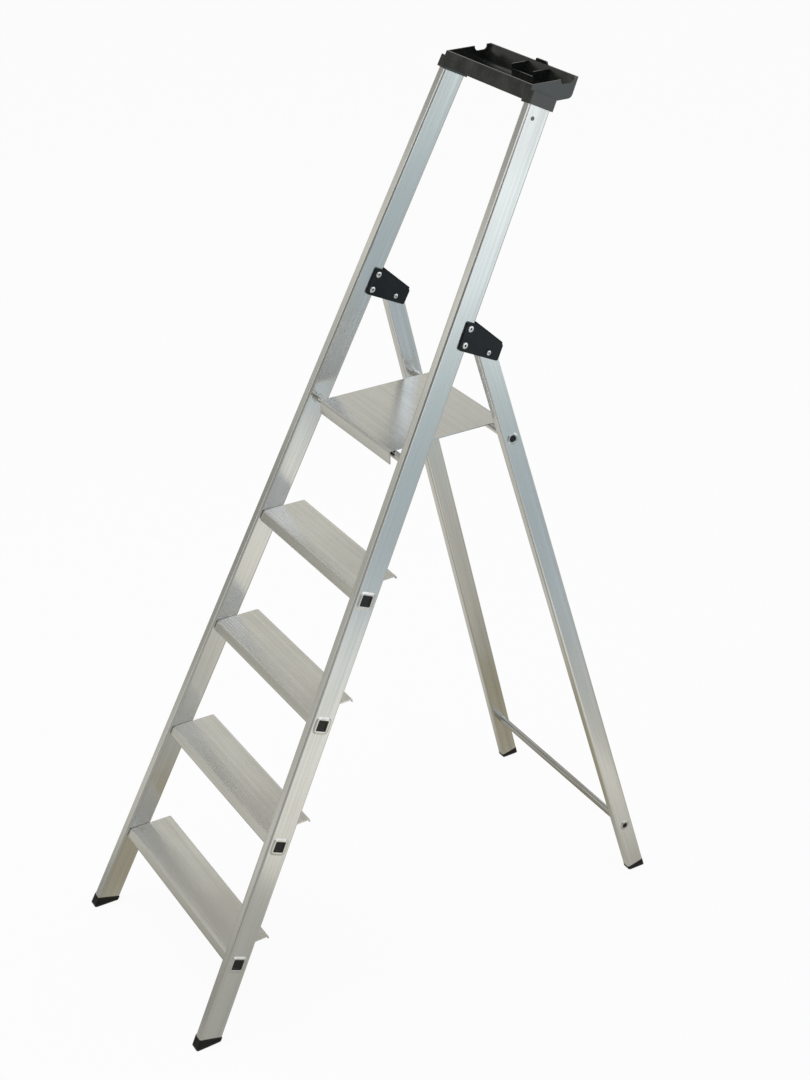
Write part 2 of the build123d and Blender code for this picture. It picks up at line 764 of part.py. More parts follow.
def tray_outline(rim):
    """Corners of the well's side view, its front and back walls carried up to a height."""
    return [
        (stile_y(rim, -tray_wall), rim),
        (stile_y(tray_front_low, -tray_wall), tray_front_low),
        (stile_y(tray_floor, stile_depth + tray_wall), tray_floor),
        (tray_back_y - tray_well * tray_slope, tray_floor),
        (tray_back_y + (rim - tray_rim_height) * tray_slope, rim),
    ]


well_radii = [0, 0, 0, tray_corner, 0]
pocket_front = tray_back_y - pocket_depth
with BuildPart() as tool_tray:
    with BuildSketch(Plane.YZ):
        with BuildLine():
            FilletPolyline(tray_outline(tray_rim_height), radius=well_radii, close=True)
        make_face()
    extrude(amount=tray_half_width)
    with BuildSketch(Plane.YZ):
        with BuildLine():
            FilletPolyline(tray_outline(tray_rim_height + 4 * tray_wall), radius=well_radii, close=True)
        make_face()
        offset(amount=-tray_wall, kind=Kind.INTERSECTION, mode=Mode.REPLACE)
    extrude(amount=tray_half_width - tray_wall, mode=Mode.SUBTRACT)
    with BuildSketch(stile_section.offset(stile_length - tray_socket)):
        with Locations(socket_middle):
            Rectangle(stile_thickness + 2 * tray_wall, stile_depth + 2 * tray_wall)
    extrude(amount=tray_socket + rest_gap + tray_wall)
    with BuildSketch(stile_section.offset(stile_length - tray_spigot)):
        with Locations(socket_middle):
            Rectangle(stile_thickness + 2 * slide_fit, stile_depth + 2 * slide_fit)
    extrude(amount=tray_spigot + rest_gap, mode=Mode.SUBTRACT)
    with BuildSketch(stile_section.offset(stile_length - tray_spigot)):
        with Locations(socket_middle):
            RectangleRounded(
                stile_hollow - 2 * slide_fit,
                stile_hollow_depth - 2 * slide_fit,
                stile_hollow_corner,
            )
    extrude(amount=tray_spigot + tray_wall)
    with BuildSketch(stile_face):
        with Locations(tray_rivet_spot):
            Circle(tray_rivet_radius + slide_fit)
    extrude(amount=-stile_wall - tray_rivet_grip - rest_gap, mode=Mode.SUBTRACT)
    with BuildSketch(Plane.YZ.offset(tray_half_width - 2 * tray_wall)):
        with Locations((tray_back_y - notch_back, tray_rim_height)):
            RectangleRounded(notch_width, 2 * notch_depth, notch_corner)
    extrude(amount=4 * tray_wall, mode=Mode.SUBTRACT)
    mirror(about=Plane.YZ)
    with BuildSketch(Plane.XZ.offset(-tray_back_y)):
        with BuildLine():
            FilletPolyline(
                (tab_left, tray_rim_height - tab_height),
                (tab_right, tray_rim_height - tab_height),
                (tab_right, tray_rim_height),
                (tab_right - tab_taper, tray_rim_height + tab_height),
                (tab_left + tab_taper, tray_rim_height + tab_height),
                (tab_left, tray_rim_height),
                radius=[0, 0, 0, tab_corner, tab_corner, 0],
                close=True,
            )
        make_face()
    extrude(amount=tray_wall)
    for wall_start, wall_end, wall_front, wall_back, drop in (
        (pocket_left, pocket_left + tray_wall, pocket_front, tray_back_y, pocket_end_drop),
        (pocket_right - tray_wall, pocket_right, pocket_front, tray_back_y, pocket_end_drop),
        (pocket_left, pocket_right, pocket_front, pocket_front + tray_wall, pocket_front_drop),
    ):
        with BuildSketch(Plane.YZ.offset(wall_start)):
            with BuildLine():
                FilletPolyline(tray_outline(tray_rim_height - drop), radius=well_radii, close=True)
            make_face()
            with Locations((wall_front, tray_floor)):
                Rectangle(
                    wall_back - wall_front,
                    tray_well,
                    align=(Align.MIN, Align.MIN),
                    mode=Mode.INTERSECT,
                )
        extrude(amount=wall_end - wall_start)
tool_tray.part.label = "tool_tray"
export_step(tool_tray.part, "parts/tool_tray.step")

# Small rivets through the outer stile walls into the spigots of the tray
with BuildPart() as tray_rivets:
    with BuildSketch(stile_face):
        with Locations(tray_rivet_spot):
            Circle(tray_rivet_head_radius)
    extrude(amount=rivet_head)
    with BuildSketch(stile_face):
        with Locations(tray_rivet_spot):
            Circle(tray_rivet_radius)
    extrude(amount=-stile_wall - tray_rivet_grip)
    mirror(about=Plane.YZ)
tray_rivets.part.label = "tray_rivets"
export_step(tray_rivets.part, "parts/tray_rivets.step")
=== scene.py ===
import bmesh
import bpy
from math import cos, pi, radians, sin
from mathutils import Matrix, Quaternion, Vector


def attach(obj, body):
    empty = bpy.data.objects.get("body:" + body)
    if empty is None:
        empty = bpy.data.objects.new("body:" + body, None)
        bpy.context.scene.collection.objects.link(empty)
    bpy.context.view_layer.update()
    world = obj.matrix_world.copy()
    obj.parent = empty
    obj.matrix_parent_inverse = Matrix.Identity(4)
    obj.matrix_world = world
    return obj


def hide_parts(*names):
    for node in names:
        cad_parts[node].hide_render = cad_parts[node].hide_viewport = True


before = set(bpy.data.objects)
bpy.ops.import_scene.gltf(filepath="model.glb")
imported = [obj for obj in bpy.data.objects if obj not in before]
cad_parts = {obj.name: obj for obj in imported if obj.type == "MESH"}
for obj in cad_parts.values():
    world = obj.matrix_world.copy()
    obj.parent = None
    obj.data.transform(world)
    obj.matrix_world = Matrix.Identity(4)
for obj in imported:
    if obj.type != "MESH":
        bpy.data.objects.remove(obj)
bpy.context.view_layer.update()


# Front stiles
# Two hollow aluminium extrusions with rounded corners, left as they come from the die, so that faint
# lines run along them. Square holes are punched through them for the treads.
stile_lean = radians(25.6)
stile_splay = radians(3.4)
stile_colour = (0.82, 0.82, 0.815)
stile_stain = (0.69, 0.69, 0.68)
stile_roughness = (0.20, 0.28)
stile_contrast = 1.5
line_width = 0.0012
line_length = 1.4
line_depth = 0.00001
line_strength = 0.3
streak_width = 0.008
streak_length = 0.7
streak_least = -0.3
streak_most = 0.4
stain_width = 0.09
stain_length = 0.25
stain_most = 0.6
scuff_width = 0.005
scuff_length = 0.010
scuff_most = 0.15


def leaning(lean, splay):
    """Directions along a right-hand stile or leg and out of its outer face."""
    along = Vector((-sin(splay), cos(splay) * sin(lean), cos(splay) * cos(lean)))
    outward = Vector((cos(splay), sin(splay) * sin(lean), sin(splay) * cos(lean)))
    return along, outward


def add_node(tree, kind, inputs, **settings):
    """New shader node. An input given as a socket is linked, any other value is set."""
    made = tree.nodes.new("ShaderNode" + kind)
    for key, value in settings.items():
        setattr(made, key, value)
    for key, value in inputs.items():
        if isinstance(value, bpy.types.NodeSocket):
            tree.links.new(value, made.inputs[key])
        else:
            made.inputs[key].default_value = value
    return made


def new_finish(name):
    """New node material, with its tree and its shader."""
    finish = bpy.data.materials.new(name)
    finish.use_nodes = True
    return finish, finish.node_tree, finish.node_tree.nodes["Principled BSDF"]


def spread(tree, value, low, high, start=0.3, end=0.7):
    """A value stretched from one range, by default that of a noise, to another and held at its ends."""
    inputs = {"Value": value, "From Min": start, "From Max": end, "To Min": low, "To Max": high}
    return add_node(tree, "MapRange", inputs).outputs["Result"]


def summed(tree, first, second):
    """Two values added together and held between nothing and one."""
    inputs = {0: first, 1: second}
    return add_node(tree, "Math", inputs, operation="ADD", use_clamp=True).outputs["Value"]


def blended(tree, share, first, second):
    """A first colour with a share of a second one in it."""
    inputs = {"Factor": share, "A": first, "B": second}
    return add_node(tree, "Mix", inputs, data_type="RGBA").outputs["Result"]


def streak_noise(tree, along, width, length, detail):
    """Noise drawn out along one direction, its streaks of a width and length in metres."""
    place = add_node(tree, "TexCoord", {}).outputs["Object"]
    turn = along.to_track_quat("Z", "Y").to_euler()
    inputs = {"Vector": place, "Rotation": turn, "Scale": (width, width, length)}
    drawn = add_node(tree, "Mapping", inputs, vector_type="TEXTURE").outputs["Vector"]
    return add_node(tree, "TexNoise", {"Vector": drawn, "Scale": 1.0, "Detail": detail}).outputs["Fac"]


def bare_metal(name, colour, stain, along, roughness, contrast=1.0):
    """Bare metal with fine lines along one direction, dull stains and small scuffs."""
    metal, tree, shader = new_finish(name)
    lines = streak_noise(tree, along, line_width, line_length, detail=2.0)
    streaks = streak_noise(tree, along, streak_width, streak_length, detail=2.0)
    stains = streak_noise(tree, along, stain_width, stain_length, detail=4.0)
    scuffs = streak_noise(tree, along, scuff_width, scuff_length, detail=3.0)
    stained = spread(tree, stains, 0.0, stain_most, start=0.38, end=0.70)
    streaked = spread(tree, streaks, streak_least * contrast, streak_most * contrast)
    share = summed(tree, stained, streaked)
    tree.links.new(blended(tree, share, (*colour, 1), (*stain, 1)), shader.inputs["Base Color"])
    scuffed = spread(tree, scuffs, 0.0, scuff_most, start=0.5, end=0.75)
    dulled = summed(tree, share, scuffed)
    smooth, dull = roughness
    tree.links.new(spread(tree, dulled, smooth, dull, start=0.0, end=1.0), shader.inputs["Roughness"])
    bump = add_node(tree, "Bump", {"Height": lines, "Strength": line_strength, "Distance": line_depth})
    tree.links.new(bump.outputs["Normal"], shader.inputs["Normal"])
    shader.inputs["Metallic"].default_value = 1.0
    return metal


def extruded(name, along):
    """The metal of a stile or leg, with its lines along the piece."""
    return bare_metal(name, stile_colour, stile_stain, along, stile_roughness, stile_contrast)


def other_side(direction):
    """The same direction on the left side of the ladder."""
    return Vector((-direction.x, direction.y, direction.z))


def dress(node, finish):
    """Puts a finish on a CAD piece that keeps its own shape."""
    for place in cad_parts[node].material_slots:
        place.material = finish


stile_along, stile_outward = leaning(stile_lean, stile_splay)
dress("right_front_stile", extruded("right_stile_metal", stile_along))
dress("left_front_stile", extruded("left_stile_metal", other_side(stile_along)))


# Treads
# Ribbed aluminium plates with a front lip. A square box under each plate runs through both stiles,
# and its ends are flared out over their outer faces.
sideways = Vector((1, 0, 0))
tread_colour = (0.86, 0.855, 0.84)
tread_stain = (0.71, 0.70, 0.68)
tread_roughness = (0.22, 0.29)
groove_dark = (0.50, 0.49, 0.46)
groove_dark_share = 0.16
rib_height = 0.0004
rib_edge = 0.00018
rim_outer_pull = 0.82
rim_inner_pull = 1.0
rim_edge = 0.0012
rim_flatness = 0.0002
rim_thickness = 0.0025
same_place = 0.00001
same_plane = radians(0.3)
hard_angle = radians(28)
smooth_angle = radians(40)


def merged_copy(node):
    """Copy of a CAD piece's mesh with its triangles joined into whole faces."""
    shape = bmesh.new()
    shape.from_mesh(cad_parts[node].data)
    bmesh.ops.remove_doubles(shape, verts=shape.verts, dist=same_place)
    bmesh.ops.dissolve_limit(shape, angle_limit=same_plane, verts=shape.verts, edges=shape.edges)
    return shape


def soften(shape, width, segments=2, where=lambda middle: True):
    """Rounds over the hard edges of a shape whose middles pass a test."""
    hard = []
    for edge in shape.edges:
        middle = (edge.verts[0].co + edge.verts[1].co) / 2
        if edge.is_manifold and edge.calc_face_angle() > hard_angle and where(middle):
            hard.append(edge)
    bmesh.ops.bevel(
        shape,
        geom=hard,
        offset=width,
        offset_type="OFFSET",
        segments=segments,
        profile=0.5,
        affect="EDGES",
        material=-1,
        clamp_overlap=True,
    )


def reach(point, outward):
    """How far out a point lies on its own side of the ladder."""
    return outward.dot((abs(point.x), point.y, point.z))


def flare_rims(shape, outward, outer_pull, inner_pull, edge):
    """Draws the flat end rims of a box or tube up to a rounded crest, and gives their reach."""
    farthest = max(reach(corner.co, outward) for corner in shape.verts)
    flat = farthest - rim_flatness
    for sign in (1, -1):
        on_rim = [corner for corner in shape.verts if reach(corner.co, outward) > flat]
        ring = [corner for corner in on_rim if corner.co.x * sign > 0]
        centre = sum((corner.co for corner in ring), Vector()) / len(ring)
        spans = [(corner.co - centre).length for corner in ring]
        between = (min(spans) + max(spans)) / 2
        for corner, span in zip(ring, spans):
            pull = outer_pull if span > between else inner_pull
            corner.co = centre + (corner.co - centre) * pull
    soften(shape, edge, segments=4, where=lambda middle: reach(middle, outward) > flat)
    return farthest


def make_piece(shape, name, finish, body, slot, *nodes):
    """Turns a finished shape into a piece that rides on a body and stands for CAD pieces."""
    mesh = bpy.data.meshes.new(name)
    shape.to_mesh(mesh)
    shape.free()
    mesh.materials.append(finish)
    mesh.shade_smooth()
    mesh.set_sharp_from_angle(angle=smooth_angle)
    piece = bpy.data.objects.new(name, mesh)
    bpy.context.scene.collection.objects.link(piece)
    piece.modifiers.new("even_shading", "WEIGHTED_NORMAL").keep_sharp = True
    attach(piece, body)
    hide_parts(*nodes)


def darken_grooves(metal, top):
    """Makes the colour of a tread darker between its ribs, below its top."""
    tree = metal.node_tree
    colour = tree.nodes["Principled BSDF"].inputs["Base Color"]
    place = add_node(tree, "TexCoord", {}).outputs["Object"]
    height = add_node(tree, "SeparateXYZ", {"Vector": place}).outputs["Z"]
    deep = spread(tree, height, groove_dark_share, 0.0, start=top - rib_height, end=top)
    tree.links.new(blended(tree, deep, colour.links[0].from_socket, (*groove_dark, 1)), colour)


for number in (1, 2, 3, 4):
    node = f"tread_{number}"
    shape = merged_copy(node)
    top = max(corner.co.z for corner in shape.verts)
    metal = bare_metal(f"tread_metal_{number}", tread_colour, tread_stain, sideways, tread_roughness)
    darken_grooves(metal, top)
    end = flare_rims(shape, stile_outward, rim_outer_pull, rim_inner_pull, rim_edge)
    soften(shape, rib_edge, where=lambda middle: reach(middle, stile_outward) < end - rim_thickness)
    make_piece(shape, f"tread_plate_{number}", metal, "front_frame", "tread_aluminium", node)


# Tread plugs
# Square black plastic plugs with a shallow dish in the face, pushed into the ends of the tread boxes.
plug_black = (0.006, 0.006, 0.007)
plug_worn = (0.016, 0.016, 0.017)
plug_roughness = (0.30, 0.46)
plug_shine = 0.4
plug_corner = 0.0022
plug_edge = 0.0005
dish_depth = 0.0012
dish_share = 0.72
dish_taper = 0.92
rubbed_patches = 26.0
fine_grain = 0.0006
fine_grain_depth = 0.00002
grain_strength = 0.4


def moulded_plastic(name, colour, worn, roughness, shine, grain=fine_grain, depth=fine_grain_depth):
    """Black moulded plastic or rubber with a grain, greyer rubbed patches and uneven gloss."""
    plastic, tree, shader = new_finish(name)
    place = add_node(tree, "TexCoord", {}).outputs["Object"]
    inputs = {"Vector": place, "Scale": rubbed_patches, "Detail": 5.0, "Roughness": 0.62}
    rubbed = add_node(tree, "TexNoise", inputs).outputs["Fac"]
    inputs = {"Vector": place, "Scale": 1 / grain, "Detail": 2.0}
    grained = add_node(tree, "TexNoise", inputs).outputs["Fac"]
    share = spread(tree, rubbed, 0.0, 1.0, start=0.42, end=0.78)
    tree.links.new(blended(tree, share, (*colour, 1), (*worn, 1)), shader.inputs["Base Color"])
    smooth, dull = roughness
    tree.links.new(spread(tree, rubbed, smooth, dull), shader.inputs["Roughness"])
    bump = add_node(tree, "Bump", {"Height": grained, "Strength": grain_strength, "Distance": depth})
    tree.links.new(bump.outputs["Normal"], shader.inputs["Normal"])
    shader.inputs["Specular IOR Level"].default_value = shine
    return plastic


def solids_of(node):
    """The separate solids of a CAD piece, each as a list of its corner points."""
    shape = merged_copy(node)
    waiting = set(shape.verts)
    solids = []
    while waiting:
        solid = [waiting.pop()]
        for corner in solid:
            for edge in corner.link_edges:
                other = edge.other_vert(corner)
                if other in waiting:
                    waiting.remove(other)
                    solid.append(other)
        solids.append([corner.co.copy() for corner in solid])
    shape.free()
    return solids


def out_of(solid, right_outward):
    """The outward direction at a solid on either side, from the one on the right."""
    return right_outward if solid[0].x > 0 else other_side(right_outward)


def measured(solid, axis):
    """Middle, half length and radius of a solid along its axis."""
    heights = [axis.dot(corner) for corner in solid]
    centre = sum(solid, Vector()) / len(solid)
    centre += axis * ((max(heights) + min(heights)) / 2 - axis.dot(centre))
    radius = max((corner - centre - axis * axis.dot(corner - centre)).length for corner in solid)
    return centre, (max(heights) - min(heights)) / 2, radius


def put(part, shape, matrix):
    """Moves a finished part to its place and adds it to a shape."""
    bmesh.ops.transform(part, matrix=matrix, verts=part.verts)
    mesh = bpy.data.meshes.new("part")
    part.to_mesh(mesh)
    part.free()
    shape.from_mesh(mesh)
    bpy.data.meshes.remove(mesh)


def square_plug(shape, solid):
    """Adds a square plug with rounded corners and a dished face, in the place of a CAD solid."""
    outward = out_of(solid, sideways)
    centre, half, _ = measured(solid, outward)
    across = Vector((0, cos(stile_lean), -sin(stile_lean)))
    width = max(across.dot(corner) for corner in solid) - min(across.dot(corner) for corner in solid)
    part = bmesh.new()
    bmesh.ops.create_cube(part, size=1.0)
    bmesh.ops.scale(part, vec=(2 * half, width, width), verts=part.verts)
    long_edges = [edge for edge in part.edges if abs(edge.verts[0].co.x - edge.verts[1].co.x) > half]
    bmesh.ops.bevel(
        part, geom=long_edges, offset=plug_corner, segments=4, profile=0.5, affect="EDGES", material=-1
    )
    face = max(part.faces, key=lambda face: face.calc_center_median().x)
    for shrink, depth in ((dish_share, 0.0), (dish_taper, -dish_depth)):
        face = bmesh.ops.extrude_discrete_faces(part, faces=[face])["faces"][0]
        bmesh.ops.scale(part, vec=(1, shrink, shrink), verts=face.verts)
        bmesh.ops.translate(part, vec=(depth, 0, 0), verts=face.verts)
    soften(part, plug_edge)
    turn = Matrix.Rotation(-stile_lean, 4, "X") @ Matrix.Rotation(0 if outward.x > 0 else pi, 4, "Z")
    put(part, shape, Matrix.Translation(centre) @ turn)


plug_plastic = moulded_plastic("plug_plastic", plug_black, plug_worn, plug_roughness, plug_shine)
shape = bmesh.new()
for solid in solids_of("tread_plugs"):
    square_plug(shape, solid)
make_piece(shape, "square_plugs", plug_plastic, "front_frame", "plug_plastic", "tread_plugs")


# Front cross tube
# Bright drawn aluminium tube with its ends inside the stiles. The platform turns on it.
tube_colour = (0.80, 0.80, 0.795)
tube_stain = (0.58, 0.58, 0.57)
tube_roughness = (0.06, 0.13)
tube_metal = bare_metal("tube_metal", tube_colour, tube_stain, sideways, tube_roughness)
dress("front_cross_tube", tube_metal)


# Platform
# One aluminium sheet, folded on a press into a front lip and a short rear lip. Its saddles and hooks
# are screwed to it from below.
sheet_colour = (0.73, 0.73, 0.725)
sheet_stain = (0.63, 0.63, 0.62)
sheet_roughness = (0.22, 0.29)
sheet_edge = 0.0004
platform_metal = bare_metal("platform_metal", sheet_colour, sheet_stain, sideways, sheet_roughness)
shape = merged_copy("platform")
soften(shape, sheet_edge)
make_piece(shape, "platform_sheet", platform_metal, "platform", "platform_aluminium", "platform")


# Platform saddles and hooks
# Black plastic mouldings under the sheet: saddles that turn on the front tube, hooks for the rear tube.
bracket_black = (0.003, 0.007, 0.010)
bracket_worn = (0.011, 0.015, 0.018)
bracket_roughness = (0.32, 0.46)
bracket_shine = 0.3
moulded_edge = 0.0006
bracket_plastic = moulded_plastic(
    "bracket_plastic", bracket_black, bracket_worn, bracket_roughness, bracket_shine
)
for side in ("right", "left"):
    for kind in ("saddle", "hook"):
        node = f"{side}_platform_{kind}"
        name = f"{side}_{kind}_moulding"
        shape = merged_copy(node)
        soften(shape, moulded_edge)
        make_piece(shape, name, bracket_plastic, "platform", "bracket_plastic", node)


# Platform screws
# Zinc-plated pan-head screws with a cross recess, driven from below into the saddles and hooks.
upwards = Vector((0, 0, 1))
screw_colour = (0.56, 0.57, 0.60)
screw_stain = (0.44, 0.44, 0.44)
screw_roughness = (0.22, 0.40)
screw_shank = 0.0018
screw_head = 0.0024
screw_recess = 0.0012
screw_slot = 0.0007
crown_cells = 5
# The rounding of the head, as shares of its radius and depths below its crown.
screw_round = ((0.72, 0.0), (0.92, 0.0004), (1.0, 0.0011))
screw_metal = bare_metal("screw_metal", screw_colour, screw_stain, upwards, screw_roughness)


def pan_screw(shape, solid):
    """Adds a pan-head screw, head down, in the place of a CAD solid."""
    centre, half, radius = measured(solid, upwards)
    part = bmesh.new()
    crown = crown_cells / 2 * screw_slot
    bmesh.ops.create_grid(part, x_segments=crown_cells, y_segments=crown_cells, size=crown)
    # The middle cell and the four beside it, each a slot wide, are pressed in as the cross.
    cross = [face for face in part.faces if face.calc_center_median().length < 1.2 * screw_slot]
    pressed = bmesh.ops.extrude_face_region(part, geom=cross)["geom"]
    bmesh.ops.delete(part, geom=cross, context="FACES")
    corners = [item for item in pressed if isinstance(item, bmesh.types.BMVert)]
    bmesh.ops.translate(part, vec=(0, 0, -screw_recess), verts=corners)
    rim = [edge for edge in part.edges if edge.is_boundary]
    rings = [(share * radius, -depth) for share, depth in screw_round]
    rings += [(radius, -screw_head), (screw_shank, -screw_head), (screw_shank, -2 * half)]
    for reached, height in rings:
        grown = bmesh.ops.extrude_edge_only(part, edges=rim)["geom"]
        rim = [item for item in grown if isinstance(item, bmesh.types.BMEdge) and item.is_boundary]
        for corner in {corner for edge in rim for corner in edge.verts}:
            corner.co = (*(corner.co.xy.normalized() * reached), height)
    bmesh.ops.contextual_create(part, geom=rim)
    bmesh.ops.recalc_face_normals(part, faces=part.faces)
    put(part, shape, Matrix.Translation(centre - half * upwards) @ Matrix.Rotation(pi, 4, "X"))


shape = bmesh.new()
for solid in solids_of("platform_screws"):
    pan_screw(shape, solid)
make_piece(shape, "pan_screws", screw_metal, "platform", "screw_steel", "platform_screws")


# Rear legs
# Two hollow aluminium extrusions like the stiles, but lighter. They lean the other way, and their
# tops turn on the hinge pins in the brackets.
rear_lean = radians(-15.3)
rear_splay = radians(3.6)
leg_along, leg_outward = leaning(rear_lean, rear_splay)
dress("right_rear_leg", extruded("right_leg_metal", leg_along))
dress("left_rear_leg", extruded("left_leg_metal", other_side(leg_along)))


# Rear tubes and their plugs
# Drawn aluminium tubes through both legs, under the platform and near the floor. Their ends are rolled
# over on the outer faces and closed with round black plugs.
# The lower stay's base and stain colours are painted darker than the upper tube's, as painted dark
# reflections; the streaked stain pattern itself is real marking.
stay_painted_reflection_colour = (0.62, 0.62, 0.61)
stay_stain_and_painted_reflection = (0.34, 0.34, 0.33)
tube_outer_pull = 0.84
tube_inner_pull = 0.92
tube_rim_edge = 0.0005
dish_floor = 0.55
dish_mouth = 0.65
same_seam = 0.000001
stay_painted_reflection_metal = bare_metal("stay_painted_reflection_metal", stay_painted_reflection_colour, stay_stain_and_painted_reflection, sideways, tube_roughness)
for node, metal in (("rear_upper_tube", tube_metal), ("lower_stay", stay_painted_reflection_metal)):
    shape = merged_copy(node)
    flare_rims(shape, leg_outward, tube_outer_pull, tube_inner_pull, tube_rim_edge)
    make_piece(shape, f"{node}_metal", metal, "rear_frame", "tube_aluminium", node)


def turned(shape, outline, axis, centre, steps):
    """Adds a turned solid with an outline of (radius, height) about an axis to a shape."""
    part = bmesh.new()
    corners = [part.verts.new((radius, 0, height)) for radius, height in outline]
    for first, second in zip(corners, corners[1:]):
        part.edges.new((first, second))
    if outline[0][0] > 0:
        part.edges.new((corners[-1], corners[0]))
    profile = part.verts[:] + part.edges[:]
    bmesh.ops.spin(
        part, geom=profile, cent=(0, 0, 0), axis=(0, 0, 1), angle=2 * pi, steps=steps, use_merge=True
    )
    bmesh.ops.remove_doubles(part, verts=part.verts, dist=same_seam)
    bmesh.ops.dissolve_degenerate(part, edges=part.edges, dist=same_seam)
    bmesh.ops.recalc_face_normals(part, faces=part.faces)
    put(part, shape, Matrix.Translation(centre) @ axis.to_track_quat("Z", "Y").to_matrix().to_4x4())


def round_plug(shape, solid):
    """Adds a round plug with a dished face, in the place of a CAD solid."""
    outward = out_of(solid, sideways)
    centre, half, radius = measured(solid, outward)
    outline = [
        (0, half - dish_depth),
        (dish_floor * radius, half - dish_depth),
        (dish_mouth * radius, half),
        (radius - plug_edge, half),
        (radius, half - plug_edge),
        (radius, -half),
        (0, -half),
    ]
    turned(shape, outline, outward, centre, steps=24)


shape = bmesh.new()
for solid in solids_of("rear_tube_plugs"):
    round_plug(shape, solid)
make_piece(shape, "round_plugs", plug_plastic, "rear_frame", "plug_plastic", "rear_tube_plugs")


# Hinge brackets
# Black plastic forks that clasp the stile and, behind it, the top of the rear leg, with a web on top.
# They are riveted to the stile, and the leg turns between their cheeks.
bracket_edge = 0.0009
for side in ("right", "left"):
    node = f"{side}_hinge_bracket"
    name = f"{side}_bracket_moulding"
    shape = merged_copy(node)
    soften(shape, bracket_edge, segments=3)
    make_piece(shape, name, bracket_plastic, "front_frame", "bracket_plastic", node)


# Rivets and hinge pins
# Hollow aluminium rivets with rolled heads, through bracket and stile, and through bracket and leg.
rivet_colour = (0.84, 0.84, 0.83)
rivet_stain = (0.68, 0.68, 0.67)
rivet_roughness = (0.16, 0.28)
rivet_shank = 0.0039
rivet_bore = 0.0020
pin_shank = 0.0036
pin_bore = 0.0015
rolled_head = 0.0014
# The rounding at the bore, as steps out from it and depths below the crown of the head.
rolled_mouth = ((0.0, 0.0007), (0.0002, 0.0002), (0.0008, 0.0))
# The rounding at the rim, as steps in from it and depths below the crown of the head.
rolled_rim = ((0.0018, 0.0001), (0.0007, 0.0005), (0.0, 0.0011), (0.0001, rolled_head))
rivet_metal = bare_metal("rivet_metal", rivet_colour, rivet_stain, sideways, rivet_roughness)


def rolled_rivet(shape, solid, axis, shank, bore):
    """Adds a hollow rivet with a rolled head at each end, in the place of a CAD solid."""
    centre, half, radius = measured(solid, axis)
    head = [(bore + step, half - depth) for step, depth in rolled_mouth]
    head += [(radius - step, half - depth) for step, depth in rolled_rim]
    head.append((shank, half - rolled_head))
    other_head = [(reached, -height) for reached, height in reversed(head)]
    turned(shape, head + other_head, axis, centre, steps=32)


shape = bmesh.new()
for solid in solids_of("bracket_rivets"):
    rolled_rivet(shape, solid, out_of(solid, stile_outward), rivet_shank, rivet_bore)
make_piece(shape, "rolled_rivets", rivet_metal, "front_frame", "rivet_metal", "bracket_rivets")
shape = bmesh.new()
for solid in solids_of("hinge_pins"):
    rolled_rivet(shape, solid, sideways, pin_shank, pin_bore)
make_piece(shape, "rolled_hinge_pins", rivet_metal, "front_frame", "rivet_metal", "hinge_pins")


# Boots
# Black rubber feet pushed into the ends of the stiles and legs, cut level with the floor.
boot_black = (0.005, 0.005, 0.0055)
boot_worn = (0.015, 0.0145, 0.014)
boot_roughness = (0.42, 0.62)
boot_shine = 0.3
boot_grain = 0.0009
boot_grain_depth = 0.00005
boot_edge = 0.0010
boot_rubber = moulded_plastic(
    "boot_rubber", boot_black, boot_worn, boot_roughness, boot_shine, boot_grain, boot_grain_depth
)
for end, body in (("front", "front_frame"), ("rear", "rear_frame")):
    for side in ("right", "left"):
        node = f"{side}_{end}_boot"
        shape = merged_copy(node)
        soften(shape, boot_edge, segments=3)
        make_piece(shape, f"{side}_{end}_foot", boot_rubber, body, "boot_rubber", node)


# Tool tray
# One black plastic moulding with sockets for the stile tops, a pocket and notched side walls. Spigots
# in the sockets go down into the stiles.
tray_black = (0.004, 0.0055, 0.0045)
tray_worn = (0.012, 0.014, 0.012)
tray_roughness = (0.18, 0.30)
tray_shine = 1.0
tray_edge = 0.0008
tray_plastic = moulded_plastic("tray_plastic", tray_black, tray_worn, tray_roughness, tray_shine)
shape = merged_copy("tool_tray")
soften(shape, tray_edge)
make_piece(shape, "tray_moulding", tray_plastic, "front_frame", "tray_plastic", "tool_tray")


# Tray rivets
# Small aluminium blind rivets with a dull finish, through the outer wall of each stile into the tray's
# spigot. Their dark grey colour is painted shade, standing for the shadow in and around their small heads.
blind_painted_shade_colour = (0.27, 0.28, 0.29)
blind_stain_and_painted_shade = (0.18, 0.18, 0.19)
blind_roughness = (0.26, 0.34)
blind_shank = 0.0020
blind_hole = 0.0014
blind_hole_depth = 0.0020
blind_head = 0.0012
# The rounding at the hole, as steps out from it and depths below the crown of the head.
blind_mouth = ((0.0, 0.0001), (0.0004, 0.0))
# The dome of the head, as steps in from its rim and depths below its crown.
blind_dome = ((0.0012, 0.0003), (0.0003, 0.0008), (0.0, blind_head))
blind_painted_shade_metal = bare_metal("blind_painted_shade_metal", blind_painted_shade_colour, blind_stain_and_painted_shade, sideways, blind_roughness)


def blind_rivet(shape, solid, axis):
    """Adds a domed blind rivet with a small hole in its head, in the place of a CAD solid."""
    centre, half, radius = measured(solid, axis)
    outline = [(0, half - blind_hole_depth), (blind_hole, half - blind_hole_depth)]
    outline += [(blind_hole + step, half - depth) for step, depth in blind_mouth]
    outline += [(radius - step, half - depth) for step, depth in blind_dome]
    outline += [(blind_shank, half - blind_head), (blind_shank, -half), (0, -half)]
    turned(shape, outline, axis, centre, steps=24)


shape = bmesh.new()
for solid in solids_of("tray_rivets"):
    blind_rivet(shape, solid, out_of(solid, stile_outward))
make_piece(shape, "blind_rivets", blind_painted_shade_metal, "front_frame", "rivet_metal", "tray_rivets")


